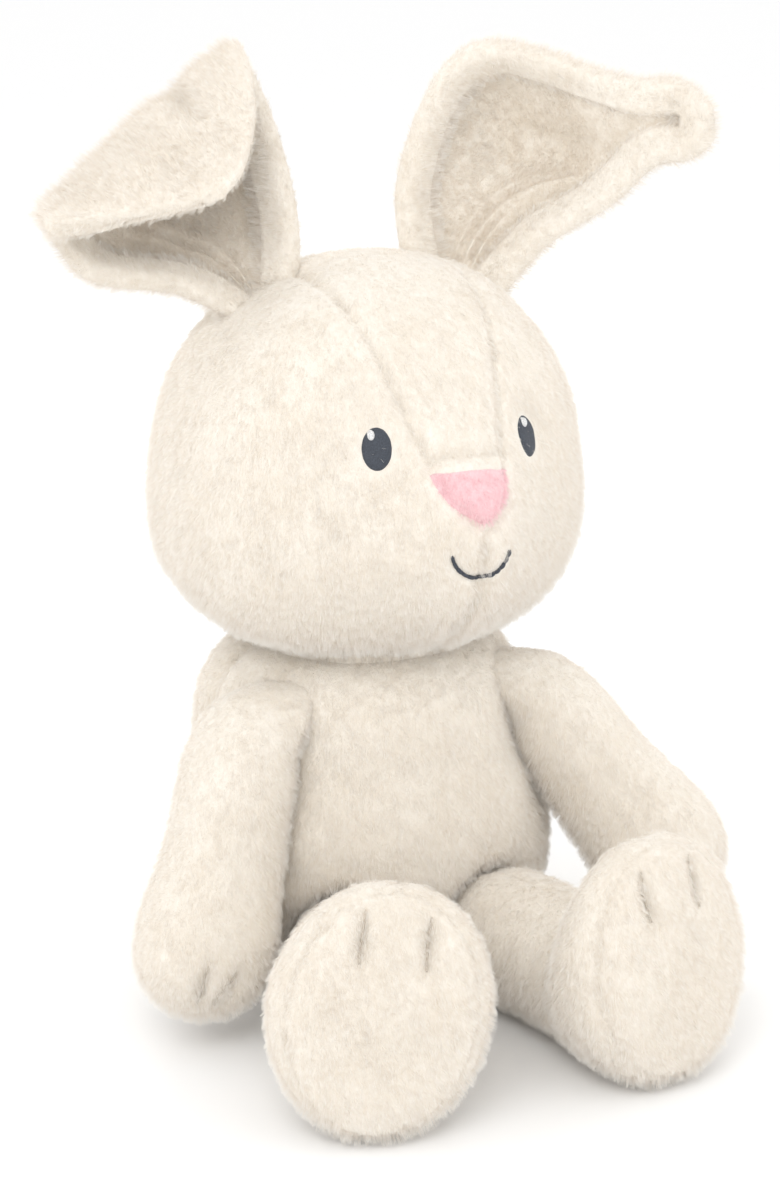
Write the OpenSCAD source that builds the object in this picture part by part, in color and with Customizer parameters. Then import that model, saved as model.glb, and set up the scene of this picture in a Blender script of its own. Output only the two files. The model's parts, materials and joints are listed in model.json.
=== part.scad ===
// Stuffed bunny rabbit, sitting up, with a padded head, arms and legs and folded ears.
// Millimetres, +Z up, the bunny looks along -Y, origin at the middle of the flat seat.

/* [Torso] */
// Widest width of the torso
torso_width = 121; // [100:1:130]
// Front-to-back depth of the torso
torso_depth = 103; // [84:1:110]
// Height of the torso from the seat to the neck opening
torso_height = 107; // [100:1:112]

/* [Head] */
// Width of the head across the cheeks
head_width = 134; // [120:1:150]
// Front-to-back depth of the head without the muzzle
head_depth = 110; // [100:1:124]
// Height of the head
head_height = 120; // [110:1:124]
// Height of the middle of the head above the seat
head_middle = 171; // [169:1:176]
// How far the head is turned to its left when at rest
head_turned = 7; // [0:1:15]
// How far the muzzle swells forward
muzzle = 18; // [4:0.5:20]
// How far the nose stands out from the muzzle
snout = 5.5; // [0:0.5:8]
// How far the eyes are set back
eye_hollow = 2.5; // [0:0.5:4]
// How far the face hangs to its left
face_tilt = 3; // [0:0.5:5]

/* [Face] */
// Half the distance between the middles of the eyes
eye_apart = 26; // [22:0.5:30]
// Height of an eye
eye_height = 13.2; // [8:0.2:16]
// Half the width of the nose along its top edge
nose_half = 13; // [8:0.5:15]
// Half the width of the smile
smile_half = 9; // [6:0.5:12]

/* [Arms] */
// Length of an arm from the shoulder joint to the tip of the paw
arm_length = 86; // [84:1:104]
// Half the width of the paw
paw_half = 22; // [18:0.5:24]
// How far the right arm hangs out from the side
right_arm_out = 21; // [18:1:45]
// How far the left arm hangs out from the side
left_arm_out = 35; // [18:1:45]
// How far both arms hang forward
arms_forward = 18; // [12:1:30]

/* [Legs] */
// Length of a leg from the hip joint to the front of the sole
leg_length = 94; // [86:1:104]
// Half the width of the sole
sole_half = 29.5; // [24:0.5:32]
// Half the height of the sole
sole_tall = 37.5; // [30:0.5:39]
// How far the right leg points outward
right_leg_out = 18; // [8:0.5:20]
// How far the left leg points outward
left_leg_out = 13; // [8:0.5:20]
// How far the right leg is rolled about its own length
right_leg_roll = 9; // [0:1:12]
// How far the soles lean back at the toes
sole_lean = 10; // [0:1:16]

/* [Fabric] */
// Thickness of the plush with its backing
fabric = 2.2; // [1.6:0.1:3]
// Space left between pieces that touch
seam = 0.25; // [0.2:0.05:0.4]

/* [Hidden] */

cream = [0.95, 0.92, 0.87];
lining_cream = [0.93, 0.89, 0.83];
pink = [0.96, 0.78, 0.79];
slate = [0.22, 0.24, 0.28];
white = [0.98, 0.98, 0.98];
wadding = [0.97, 0.97, 0.95];

RIGHT = -1;
LEFT = 1;
inside = fabric + seam;

// Joint centres and the room kept clear around them.
neck = [0, 0, torso_height + 4];
neck_ball = 21.6;
neck_clear = neck_ball + 2.4;
shoulder_ball = 15;
shoulder_clear = shoulder_ball + fabric + 1.7;
hip_ball = 17;
hip_clear = hip_ball + fabric + 2.1;
leg_up = 32;
function shoulder(side) = [side * 50, -24, 88];
function hip(side) = [side * 25, -45, 21.8];

// ---- small helpers ----
function turn_x(a, p) = [p[0], p[1] * cos(a) - p[2] * sin(a), p[1] * sin(a) + p[2] * cos(a)];
function turn_y(a, p) = [p[0] * cos(a) + p[2] * sin(a), p[1], p[2] * cos(a) - p[0] * sin(a)];
function turn_z(a, p) = [p[0] * cos(a) - p[1] * sin(a), p[0] * sin(a) + p[1] * cos(a), p[2]];
function unit(v) = v / norm(v);
function mean(row) = row * 0 == undef ? row[0] : [for (k = [0:2]) average([for (p = row) p[k]])];
function average(values) = (values * [for (v = values) 1]) / len(values);

// Point p moved straight away from centre c until it is at least r from it.
function keep_off(p, c, r) = norm(p - c) < r ? c + unit(p - c) * r : p;

// Point p sunk into a round pocket of radius r about c, whose mouth faces the way out.
function pocket(p, c, r, out) = let (
    along = (p - c) * out,
    across2 = (p - c) * (p - c) - along * along)
    across2 < r * r ? p + (min(along, -sqrt(r * r - across2)) - along) * out : p;

// Smooth curve through four points, t from 0 to 1.
function through(p, t) =
    p[0] * (1 - 3 * t) * (1 - 1.5 * t) * (1 - t) + p[1] * 9 * t * (1 - 1.5 * t) * (1 - t)
    - p[2] * 4.5 * t * (1 - 3 * t) * (1 - t) + p[3] * t * (1 - 3 * t) * (1 - 1.5 * t);

// Thin closed skin between two matching grids of points. With ring the columns run all the
// way round; with tip the last row is a single point.
module skin(out, in, ring = false, tip = false) {
    n = len(out);
    m = len(out[0]);
    c = ring ? m : m - 1;
    s = tip ? (n - 1) * m + 1 : n * m;
    function id(i, j) = tip && i == n - 1 ? s - 1 : i * m + j % m;
    top = [for (i = [0:n - 2], j = [0:c - 1]) each concat(
        [[id(i, j), id(i, j + 1), id(i + 1, j + 1)]],
        tip && i == n - 2 ? [] : [[id(i, j), id(i + 1, j + 1), id(i + 1, j)]])];
    rim = concat(
        [for (j = [0:c - 1]) [id(0, j), id(0, j + 1)]],
        tip ? [] : [for (j = [0:c - 1]) [id(n - 1, j + 1), id(n - 1, j)]],
        ring ? [] : [for (i = [0:n - 2]) [id(i, m - 1), id(i + 1, m - 1)]],
        ring ? [] : [for (i = [0:n - 2]) [id(i + 1, 0), id(i, 0)]]);
    polyhedron(
        concat([for (r = out) each r], [for (r = in) each r]),
        concat(top, [for (t = top) [s + t[0], s + t[2], s + t[1]]],
            [for (e = rim) each [[e[1], e[0], s + e[0]], [e[1], s + e[0], s + e[1]]]]));
}

// Solid through a stack of rings, closed at both ends.
module stack(rings) {
    n = len(rings);
    m = len(rings[0]);
    last = n * m;
    polyhedron(
        concat([for (r = rings) each r], [mean(rings[0]), mean(rings[n - 1])]),
        concat(
            [for (i = [0:n - 2], j = [0:m - 1]) let (k = (j + 1) % m) each [
                [i * m + j, i * m + k, i * m + m + k], [i * m + j, i * m + m + k, i * m + m + j]]],
            [for (j = [0:m - 1]) [(j + 1) % m, j, last]],
            [for (j = [0:m - 1]) [last - m + j, last - m + (j + 1) % m, last + 1]]));
}

// Thread of radius r laid along a path; up is the direction away from the fabric.
module thread(path, up, r) {
    n = len(path);
    stack([for (i = [0:n - 1]) let (
        along = unit(path[min(i + 1, n - 1)] - path[max(i - 1, 0)]),
        side = unit(cross(along, up)))
        [for (a = [0:60:300]) path[i] + r * (cos(a) * side + sin(a) * up)]]);
}

// Rows [height, half width, front depth, back depth] of a padded body, set in by d.
function set_in(rows, i, d) = let (
    a = rows[max(i - 1, 0)],
    b = rows[min(i + 1, len(rows) - 1)],
    t = unit([b[1] - a[1], b[0] - a[0]]),
    r = rows[i])
    [r[0] + d * t[0], r[1] - d * t[1], r[2] - d * t[1], r[3] - d * t[1]];

// ---- torso ----
tw = torso_width / 2;
td = torso_depth / 2;
th = torso_height;
torso_rows = [
    [0.6, 0.5 * tw, 0.5 * td, 0.54 * td],
    [4, 0.72 * tw, 0.68 * td, 0.76 * td],
    [12, 0.88 * tw, 0.84 * td, 0.9 * td],
    [24, 0.97 * tw, 0.97 * td, 0.98 * td],
    [0.38 * th, tw, 1.02 * td, td],
    [0.52 * th, 0.97 * tw, td, 0.97 * td],
    [0.66 * th, 0.92 * tw, 0.94 * td, 0.92 * td],
    [0.79 * th, 0.85 * tw, 0.84 * td, 0.86 * td],
    [0.89 * th, 0.74 * tw, 0.72 * td, 0.78 * td],
    [0.96 * th, 0.58 * tw, 0.59 * td, 0.65 * td],
    [0.99 * th, 0.45 * tw, 0.5 * td, 0.53 * td],
    [th, 0.39 * tw, 0.46 * td, 0.46 * td]
];

// Torso point p pushed in where a limb of radius r lies from c towards way, length long.
function bed(p, c, way, long, r, out) = let (s = min(long, max(0, (p - c) * way)))
    pocket(p, c + s * way, r + 0.03 * s, out);
function arm_bed(side, p, d) = bed(p, shoulder(side), on_arm(side, [0, 0, -1]) - shoulder(side), 64,
    shoulder_clear + d, unit([side, -0.7, 0]));
function leg_bed(side, p, d) = bed(p, hip(side),
    turn_z(side * (leg_out(side) + 5), turn_x(-leg_up, [0, -1, 0])), 40,
    hip_clear + d, unit([side * 0.15, -1, 0]));
function in_torso(p, d) = pocket(
    leg_bed(RIGHT, leg_bed(LEFT, arm_bed(RIGHT, arm_bed(LEFT, p, d), d), d), d),
    neck, neck_clear + d, [0, 0, 1]);

// Row u of the torso, counted from the seat, part numbers lying between two rows.
function torso_row(u, d) = let (i = min(floor(u), len(torso_rows) - 2))
    set_in(torso_rows, i, d) * (i + 1 - u) + set_in(torso_rows, i + 1, d) * (u - i);
function torso_point(u, a, d, extra = 0) = let (r = torso_row(u, d))
    in_torso([r[1] * sin(a), -(cos(a) > 0 ? r[2] : r[3]) * cos(a), r[0]], d + extra);

function torso_grid(a, d) = [for (u = [0:0.5:len(torso_rows) - 1])
    [for (k = [-10:10]) torso_point(u, a + k * 8.98, d)]];

module torso_panel(a) { color(cream) skin(torso_grid(a, 0), torso_grid(a, fabric)); }
module torso_front_panel() { torso_panel(0); }
module torso_back_panel() { torso_panel(180); }

module base_panel() {
    color(cream) linear_extrude(2)
        polygon([for (a = [0:7.5:352.5]) [(0.5 * tw - 0.8) * cos(a),
            (a > 180 ? 0.5 * td - 0.8 : 0.54 * td - 0.8) * sin(a)]]);
}

module torso_stuffing() {
    last = len(torso_rows) - 1;
    function ring(u, f) = [for (a = [0:15:345]) let (p = torso_point(u, a, inside + 1, 2))
        f == 1 ? p : in_torso([p[0] * f, p[1] * f, p[2]], inside + 3)];
    color(wadding) stack(concat([for (u = [0:last]) ring(u, 1)], [ring(last, 0.7), ring(last, 0.3)]));
}

// ---- tail ----
tail_r = 16;
tail_at = [0, td + tail_r - 0.6, 26];

module tail_cover() {
    color(cream) translate(tail_at) rotate([90, 0, 0]) rotate_extrude($fn = 32) polygon(concat(
        [for (t = [-90:12:66]) tail_r * [cos(t), sin(t)]],
        [for (t = [66:-12:-90]) (tail_r - fabric) * [cos(t), sin(t)]]));
}
module tail_stuffing() { color(wadding) translate(tail_at) sphere(tail_r - inside); }

// ---- neck ----
module neck_stuffing() { color(cream) translate(neck) sphere(neck_ball); }

// ---- head ----
hw = head_width / 2;
hd = head_depth / 2;
hh = head_height / 2;
head_at = [0, -4, head_middle];

// Half width of the middle strip of the head at angle a, 0 at the face and 90 at the crown.
// Up to nose_top it is the nose, then the gusset over the crown, and under the chin a plain seam.
gusset_width = [[-8, 0.12], [-6.5, 1.4], [-4, 5.5], [-1, 9.5], [4, 12.4], [7.5, nose_half],
    [20, 17.5], [45, 24], [70, 28.5], [90, 30], [150, 27], [200, 18], [240, 7], [250, 3],
    [256, 0.12], [352, 0.12]];
nose_top = 7.5;
nose_angles = [-6.5, -4, -1, 2, 4, nose_top];
gusset_angles = [for (n = [0:30]) nose_top + n * (250 - nose_top) / 30];
head_angles = concat([-8], nose_angles, [for (n = [1:30]) gusset_angles[n]], [256],
    [for (n = [1:9]) 256 + n * 9]);
function strip(a) = lookup(a, gusset_width);

// Point on the head: a runs round from the face over the crown, q from -1 to 1 across,
// d is the depth below the surface.
function head_point(a, q, d) = let (
    c = cos(a), s = sin(a),
    full = 2.35 - 0.55 * min(0, s),
    k = pow(max(0, 1 - pow(abs(q), full)), 1 / full),
    square = s < 0 ? 0.76 : 0.93,
    y = -((c > 0 ? 0.91 : 1.06) * hd - d) * k * sign(c) * pow(abs(c), square),
    z = (hh - d) * k * sign(s) * pow(abs(s), square),
    v = z / hh,
    x = (hw - d) * q * (1 - 0.09 * v - 0.06 * v * v),
    front = max(0, c) * k,
    swell = c > 0 ? k * (muzzle * exp(-pow((z + 26) / 31, 2) - pow(x / 32, 2))
        + snout * exp(-pow((z + 2) / 17, 2) - pow(x / 17, 2)) * front
        - eye_hollow * exp(-pow((abs(x) - 27) / 11, 2) - pow((z - 11) / 14, 2)) * front) : 0)
    turn_z(head_turned, pocket(head_at + [x, y - swell, z - x * tan(face_tilt) * front],
        neck, neck_clear + 1 + d, [0, 0, -1]));

function head_side_row(side, t, d) = [for (n = [1:len(head_angles)]) let (
    a = head_angles[side > 0 ? n - 1 : len(head_angles) - n],
    e = asin((strip(a) + seam / 2) / hw))
    head_point(a, side * sin(e + t * (90 - e)), d)];

function head_side(side, d) = concat(
    [for (t = [0, 0.07, 0.14, 0.21, 0.28, 0.36, 0.5, 0.65, 0.8, 0.91]) head_side_row(side, t, d)],
    [[head_point(0, side, d)]]);

module head_panel(side) {
    color(cream) skin(head_side(side, 0), head_side(side, fabric), ring = true, tip = true);
}
module head_right_panel() { head_panel(RIGHT); }
module head_left_panel() { head_panel(LEFT); }

function head_strip(angles, d) = [for (a = angles)
    [for (n = [-3:3]) head_point(a, n / 3 * (strip(a) - seam / 2) / hw, d)]];

module head_gusset() {
    angles = concat([nose_top + 0.25], [for (n = [1:30]) gusset_angles[n]]);
    color(cream) skin(head_strip(angles, 0), head_strip(angles, fabric));
}
module nose_panel() {
    angles = concat([for (n = [0:4]) nose_angles[n]], [nose_top - 0.25]);
    color(pink) skin(head_strip(angles, -0.6), head_strip(angles, fabric));
}
module head_stuffing() {
    color(wadding) stack([for (n = [0:18]) let (q = sin(-85.5 + n * 9.5))
        [for (a = [0:11.25:348.75]) head_point(-a, q, inside + 3)]]);
}

// ---- face ----
eye_q = eye_apart / hw / 0.985;
eye_a = 9.5;

// Flat oval lying on the head, w and h its half sizes, from depth low to depth high.
module patch(a, q, w, h, low, high) {
    function ring(f, d) = [for (t = [0:22.5:337.5]) head_point(
        a + f * h * sin(t) * 57.3 / hh, q + f * w * cos(t) / hw, d)];
    function grid(d, dome) = [ring(1, d), ring(0.7, d - dome * 0.6), ring(0.35, d - dome * 0.9),
        [head_point(a, q, d - dome)]];
    skin(grid(high, 0.5), grid(low, 0), ring = true, tip = true);
}
module eye(side) {
    color(slate) patch(eye_a, side * eye_q, eye_height * 0.36, eye_height / 2, -0.6, -1.15);
}
module right_eye() { eye(RIGHT); }
module left_eye() { eye(LEFT); }
module highlight(side) {
    color(white) patch(eye_a + 3.6, side * eye_q - 0.018, 1.1, 1.5, -1.95, -2.15);
}
module right_eye_highlight() { highlight(RIGHT); }
module left_eye_highlight() { highlight(LEFT); }

module mouth_stitching() {
    path = [for (t = [-80:20:80]) head_point(-11 - 9 * cos(t), smile_half * sin(t) / hw, -1)];
    color(slate) thread(path, turn_z(head_turned, [0, -1, 0]), 0.7);
}

// ---- ears ----
// Each ear piece is a sheet through 4 x 4 points, from the head outward and from the
// inner edge to the outer edge.
right_ear_points = [
    [[-24, -8, 230], [-31, -4, 230], [-39, 0, 229], [-48, 3, 227]],
    [[-23, 1, 249], [-33, 16, 246], [-51, 16, 237], [-71, 6, 226]],
    [[-25, 10, 272], [-41, 26, 263], [-63, 27, 248], [-90, 12, 233]],
    [[-33, 16, 291], [-54, 17, 275.5], [-75, 18, 260], [-96, 19, 244.5]]
];
right_tip_points = [
    [[-34, 11, 295], [-55, 11, 279.5], [-76, 11, 264], [-97, 11, 248.5]],
    [[-35, 2, 288], [-52, 0, 274], [-77, 2, 259], [-100, 4, 245]],
    [[-37, -9, 274], [-52, -10, 264], [-76, -6, 254], [-101, -1, 243]],
    [[-41, -17, 259], [-54, -18, 252], [-75, -13, 248], [-95, -6, 244]]
];
left_ear_points = [
    [[17, 13, 229], [27, 10, 229], [37, 5, 229], [46, 1, 227]],
    [[21, 18, 258], [40, 24, 251], [57, 16, 242], [63, -8, 231]],
    [[43, 15, 290], [58, 22, 272], [74, 13, 254], [78, -14, 242]],
    [[85, -12, 281], [87, -14, 272], [89, -16, 263], [91, -18, 254]]
];
left_tip_points = [
    [[87.5, -15, 281], [89.5, -17, 272], [91.5, -19, 263], [93.5, -21, 254]],
    [[96, -20, 282], [98, -19, 273], [99, -20, 264], [98, -25, 255]],
    [[103, -25, 279], [104, -27, 272], [104, -28, 265], [101, -30, 257]],
    [[106, -27, 274], [106, -29, 270], [105, -30, 265], [103, -31, 261]]
];

function ear_middle(net, u, v) = through([for (row = net) through(row, v)], u);
function ear_point(net, u, v, d) = let (
    e = 0.01,
    du = ear_middle(net, u + e, v) - ear_middle(net, u - e, v),
    dv = ear_middle(net, u, v + e) - ear_middle(net, u, v - e))
    ear_middle(net, u, v) + d * unit(cross(du, dv));
function ear_grid(net, d) = [for (i = [0:8]) [for (j = [0:8]) ear_point(net, i / 8, j / 8, d)]];

// One layer of an ear piece, on one face or the other of its middle surface.
module ear_layer(net, face) {
    near = face * seam;
    far = face * (fabric + seam);
    skin(ear_grid(net, max(near, far)), ear_grid(net, min(near, far)));
}
module right_ear_outer() { color(cream) ear_layer(right_ear_points, -1); }
module right_ear_lining() { color(lining_cream) ear_layer(right_ear_points, 1); }
module right_ear_tip_outer() { color(cream) ear_layer(right_tip_points, -1); }
module right_ear_tip_lining() { color(lining_cream) ear_layer(right_tip_points, 1); }
module left_ear_outer() { color(cream) ear_layer(left_ear_points, 1); }
module left_ear_lining() { color(lining_cream) ear_layer(left_ear_points, -1); }
module left_ear_tip_outer() { color(cream) ear_layer(left_tip_points, 1); }
module left_ear_tip_lining() { color(lining_cream) ear_layer(left_tip_points, -1); }

// ---- arms ----
// Rows [distance from the shoulder, half width, half depth].
arm_rows = [
    [3, 17.3, 17.3], [12, 17.6, 17], [26, 18, 16.5], [0.42 * arm_length, 18.6, 16],
    [0.56 * arm_length, 20, 17], [0.7 * arm_length, paw_half, 18.5],
    [0.84 * arm_length, 0.96 * paw_half, 17.5], [0.94 * arm_length, 0.7 * paw_half, 12.5],
    [0.985 * arm_length, 0.34 * paw_half, 6.5]
];
function arm_out(side) = side == RIGHT ? right_arm_out : left_arm_out;
function on_arm(side, p) = shoulder(side)
    + turn_y(-side * arm_out(side), turn_x(-arms_forward, p));

function arm_point(side, i, a, d, clear) = let (
    r = set_in([for (q = arm_rows) [q[0], q[1], q[2], q[2]]], i, d))
    on_arm(side, keep_off([r[1] * cos(a), r[2] * sin(a), -r[0]], [0, 0, 0], shoulder_ball + clear));

function arm_grid(side, a0, a1, d) = concat(
    [for (i = [0:len(arm_rows) - 1]) [for (k = [0:10])
        arm_point(side, i, a0 + (a1 - a0) * k / 10, d, 0.35)]],
    [[on_arm(side, [0, 0, -(arm_length - d)])]]);

// Half of an arm; face 0 looks along +X and 180 along -X.
module arm_panel(side, face) {
    color(cream) skin(arm_grid(side, face - 89.6, face + 89.6, 0),
        arm_grid(side, face - 89.2, face + 89.2, fabric), tip = true);
}
module arm_stuffing(side) {
    function dish(r) = [for (a = [0:22.5:337.5])
        on_arm(side, [r * cos(a), r * sin(a), -sqrt(pow(shoulder_ball + 1.3, 2) - r * r)])];
    color(wadding) stack(concat([dish(5), dish(11)], [for (i = [1:len(arm_rows) - 1])
        [for (a = [0:22.5:337.5]) arm_point(side, i, a, inside + 0.3, 1.3)]]));
}
module paw_stitches(side) {
    color(cream) for (a = [-104, -76]) thread(
        [for (i = [5:0.5:7.5]) let (
            low = arm_point(side, floor(i), a, -0.6, 0),
            high = arm_point(side, ceil(i), a, -0.6, 0))
            low + (high - low) * (i - floor(i))],
        on_arm(side, [0, -1, 0]) - shoulder(side), 0.4);
}

module right_shoulder() { color(cream) translate(shoulder(RIGHT)) sphere(shoulder_ball); }
module right_arm_outer_panel() { arm_panel(RIGHT, 180); }
module right_arm_inner_panel() { arm_panel(RIGHT, 0); }
module right_arm_stuffing() { arm_stuffing(RIGHT); }
module right_paw_stitches() { paw_stitches(RIGHT); }
module left_shoulder() { color(cream) translate(shoulder(LEFT)) sphere(shoulder_ball); }
module left_arm_outer_panel() { arm_panel(LEFT, 0); }
module left_arm_inner_panel() { arm_panel(LEFT, 180); }
module left_arm_stuffing() { arm_stuffing(LEFT); }
module left_paw_stitches() { paw_stitches(LEFT); }

// ---- legs ----
// Rows [distance from the hip, half width, half height]; the last four are the sole.
leg_rows = [
    [3, 19.3, 19.3], [10, 20.5, 20], [24, 21, 20.2], [38, 20.6, 19.8], [50, 21, 20.2],
    [60, 0.84 * sole_half, 0.62 * sole_tall], [68, sole_half, 0.79 * sole_tall],
    [leg_length - 19, 1.08 * sole_half, 0.92 * sole_tall],
    [leg_length - 12, 1.08 * sole_half, 0.99 * sole_tall],
    [leg_length - 6, sole_half, sole_tall],
    [leg_length - 5.2, 0.9 * sole_half, 0.915 * sole_tall],
    [leg_length - 2.6, 0.84 * sole_half, 0.86 * sole_tall],
    [leg_length - 0.9, 0.6 * sole_half, 0.6 * sole_tall],
    [leg_length - 0.2, 0.28 * sole_half, 0.28 * sole_tall]
];
sole_row = 10;

function leg_out(side) = side == RIGHT ? right_leg_out : left_leg_out;
function leg_roll(side) = side == RIGHT ? right_leg_roll : 0;

// Middle of the leg above the hip joint, so that the underside stays level.
function leg_lift(i) = max(0, leg_rows[min(i, sole_row - 1)][2] - 21.2);

function on_leg(side, p) = let (
    f = min(1, max(0, (-p[1] - 45) / 25)),
    lean = f * tan(sole_lean) * (p[2] + 20))
    hip(side) + turn_z(side * leg_out(side), turn_y(leg_roll(side), [p[0], p[1] + lean, p[2]]));

function leg_point(side, i, a, d, clear) = let (
    r = set_in([for (q = leg_rows) [q[0], q[1], q[2], q[2]]], i, d))
    on_leg(side, keep_off([r[1] * cos(a), -r[0], r[2] * sin(a) + leg_lift(i)],
        [0, 0, 0], hip_ball + clear));

function leg_grid(side, a0, a1, d) = [for (i = [0:sole_row - 1])
    [for (k = [0:10]) leg_point(side, i, a0 + (a1 - a0) * k / 10, d, 0.35)]];

// Half of a leg; face 0 looks along +X and 180 along -X.
module leg_panel(side, face) {
    color(cream) skin(leg_grid(side, face - 89.6, face + 89.6, 0),
        leg_grid(side, face - 89.2, face + 89.2, fabric));
}
function sole_grid(side, d) = concat(
    [for (i = [sole_row:len(leg_rows) - 1])
        [for (a = [0:15:345]) leg_point(side, i, a, d, 0.35)]],
    [[on_leg(side, [0, d - leg_length, leg_lift(sole_row)])]]);
module foot_sole(side) {
    color(cream) skin(sole_grid(side, 0), sole_grid(side, fabric), ring = true, tip = true);
}
module leg_stuffing(side) {
    function dish(r) = [for (a = [0:18:342])
        on_leg(side, [r * cos(a), -sqrt(pow(hip_ball + 1.3, 2) - r * r), r * sin(a)])];
    color(wadding) stack(concat([dish(5.5), dish(12)], [for (i = [1:len(leg_rows) - 1])
        if (i != sole_row - 1) [for (a = [0:18:342]) leg_point(side, i, a, inside + 0.3, 1.3)]]));
}
module toe_stitches(side) {
    color(cream) for (x = [-0.33, 0.33]) thread(
        [for (f = [0.42:0.1:0.82]) on_leg(side, [x * sole_half,
            -0.9 - leg_length + 5 * pow(norm([f, x]), 4), leg_lift(sole_row) + f * sole_tall])],
        [0, -1, 0], 0.45);
}

module right_hip() { color(cream) translate(hip(RIGHT)) sphere(hip_ball); }
module right_leg_outer_panel() { leg_panel(RIGHT, 180); }
module right_leg_inner_panel() { leg_panel(RIGHT, 0); }
module right_foot_sole() { foot_sole(RIGHT); }
module right_leg_stuffing() { leg_stuffing(RIGHT); }
module right_toe_stitches() { toe_stitches(RIGHT); }
module left_hip() { color(cream) translate(hip(LEFT)) sphere(hip_ball); }
module left_leg_outer_panel() { leg_panel(LEFT, 0); }
module left_leg_inner_panel() { leg_panel(LEFT, 180); }
module left_foot_sole() { foot_sole(LEFT); }
module left_leg_stuffing() { leg_stuffing(LEFT); }
module left_toe_stitches() { toe_stitches(LEFT); }

torso_front_panel();
torso_back_panel();
base_panel();
torso_stuffing();
tail_cover();
tail_stuffing();
neck_stuffing();
head_right_panel();
head_left_panel();
head_gusset();
nose_panel();
head_stuffing();
right_eye();
left_eye();
right_eye_highlight();
left_eye_highlight();
mouth_stitching();
right_ear_outer();
right_ear_lining();
right_ear_tip_outer();
right_ear_tip_lining();
left_ear_outer();
left_ear_lining();
left_ear_tip_outer();
left_ear_tip_lining();
right_shoulder();
right_arm_outer_panel();
right_arm_inner_panel();
right_arm_stuffing();
right_paw_stitches();
left_shoulder();
left_arm_outer_panel();
left_arm_inner_panel();
left_arm_stuffing();
left_paw_stitches();
right_hip();
right_leg_outer_panel();
right_leg_inner_panel();
right_foot_sole();
right_leg_stuffing();
right_toe_stitches();
left_hip();
left_leg_outer_panel();
left_leg_inner_panel();
left_foot_sole();
left_leg_stuffing();
left_toe_stitches();
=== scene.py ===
"""Stuffed bunny rabbit: plush covers, ears, face and stitching over the CAD frame.

Every cover starts as one closed skin round the CAD solids it stands for. The skin is inflated
as cloth with its seams held, subdivided, and sewn: seams and stitches pull it in.
"""
import json
import math

import bmesh
import bpy
import numpy as np
from mathutils import Matrix, Vector, noise
from mathutils.bvhtree import BVHTree

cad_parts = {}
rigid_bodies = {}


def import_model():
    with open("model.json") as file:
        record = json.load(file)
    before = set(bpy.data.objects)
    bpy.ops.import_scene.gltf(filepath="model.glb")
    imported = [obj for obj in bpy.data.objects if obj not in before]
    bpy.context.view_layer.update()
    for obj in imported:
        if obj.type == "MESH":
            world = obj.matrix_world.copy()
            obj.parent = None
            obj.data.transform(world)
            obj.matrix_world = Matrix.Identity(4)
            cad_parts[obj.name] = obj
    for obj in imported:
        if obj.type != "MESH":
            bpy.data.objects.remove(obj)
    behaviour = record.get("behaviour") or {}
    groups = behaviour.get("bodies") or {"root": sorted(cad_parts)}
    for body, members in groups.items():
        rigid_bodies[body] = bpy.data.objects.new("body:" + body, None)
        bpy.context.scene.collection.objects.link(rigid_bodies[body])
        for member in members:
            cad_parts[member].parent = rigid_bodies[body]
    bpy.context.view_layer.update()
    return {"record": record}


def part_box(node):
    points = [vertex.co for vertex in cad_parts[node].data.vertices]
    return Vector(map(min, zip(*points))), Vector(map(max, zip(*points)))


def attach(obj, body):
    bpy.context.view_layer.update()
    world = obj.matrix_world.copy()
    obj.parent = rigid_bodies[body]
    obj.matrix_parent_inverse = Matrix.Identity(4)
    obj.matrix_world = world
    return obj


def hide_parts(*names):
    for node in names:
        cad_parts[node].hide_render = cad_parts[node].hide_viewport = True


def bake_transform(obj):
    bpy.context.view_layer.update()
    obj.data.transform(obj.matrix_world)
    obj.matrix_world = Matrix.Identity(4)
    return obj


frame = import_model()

MM = 0.001

# ---- sizes, in millimetres ----
SKIN_VOXEL = 3.6        # remesh size of a cover before it is subdivided twice
PUFF_CAP = 2.0          # farthest a cover may swell
SEAM_DEPTH = 1.5
SEAM_WIDTH = 1.9
PILE = 2.5              # length of the plush pile
EYE_WIDTH = 9.4
EYE_HEIGHT = 13.4
NOSE_WIDTH = 27
NOSE_HEIGHT = 16
HEAD_TURN = math.radians(7)
COLLAR_SPREAD = 0.17
COLLAR_RISE = 5.0
NECK_SPREAD = (1.72, 1.6, 0.72)     # the neck cushion is squashed flat between head and torso

COMB_DOWN = (0, 0, -0.6)

SIDES = {"right": -1, "left": 1}


# ---- small helpers ----
def node_mesh(name):
    """The mesh of a CAD node as a bmesh, its faces joined up."""
    bm = bmesh.new()
    bm.from_mesh(bpy.data.objects[name].data)
    bmesh.ops.remove_doubles(bm, verts=bm.verts, dist=0.002 * MM)
    return bm


def connected_parts(bm):
    """Each connected part of a bmesh as a list of vertices, in the order of the mesh."""
    seen = set()
    for first in bm.verts:
        if first in seen:
            continue
        seen.add(first)
        part, edge = [first], [first]
        while edge:
            for e in edge.pop().link_edges:
                for v in e.verts:
                    if v not in seen:
                        seen.add(v)
                        part.append(v)
                        edge.append(v)
        yield part


def middle(node):
    """Middle of a CAD node's box."""
    low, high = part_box(node)
    return (Vector(low) + Vector(high)) / 2


def joint(name):
    """Centre of a joint of the record, in metres."""
    joints = frame["record"]["behaviour"]["joints"]
    found = next(j for j in joints if j["name"] == name)
    return Vector(found["pos_m"])


def new_object(name, mesh):
    made = bpy.data.objects.new(name, mesh)
    bpy.context.scene.collection.objects.link(made)
    return made


def smooth_shaded(mesh):
    mesh.polygons.foreach_set("use_smooth", [True] * len(mesh.polygons))
    mesh.update()


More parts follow.
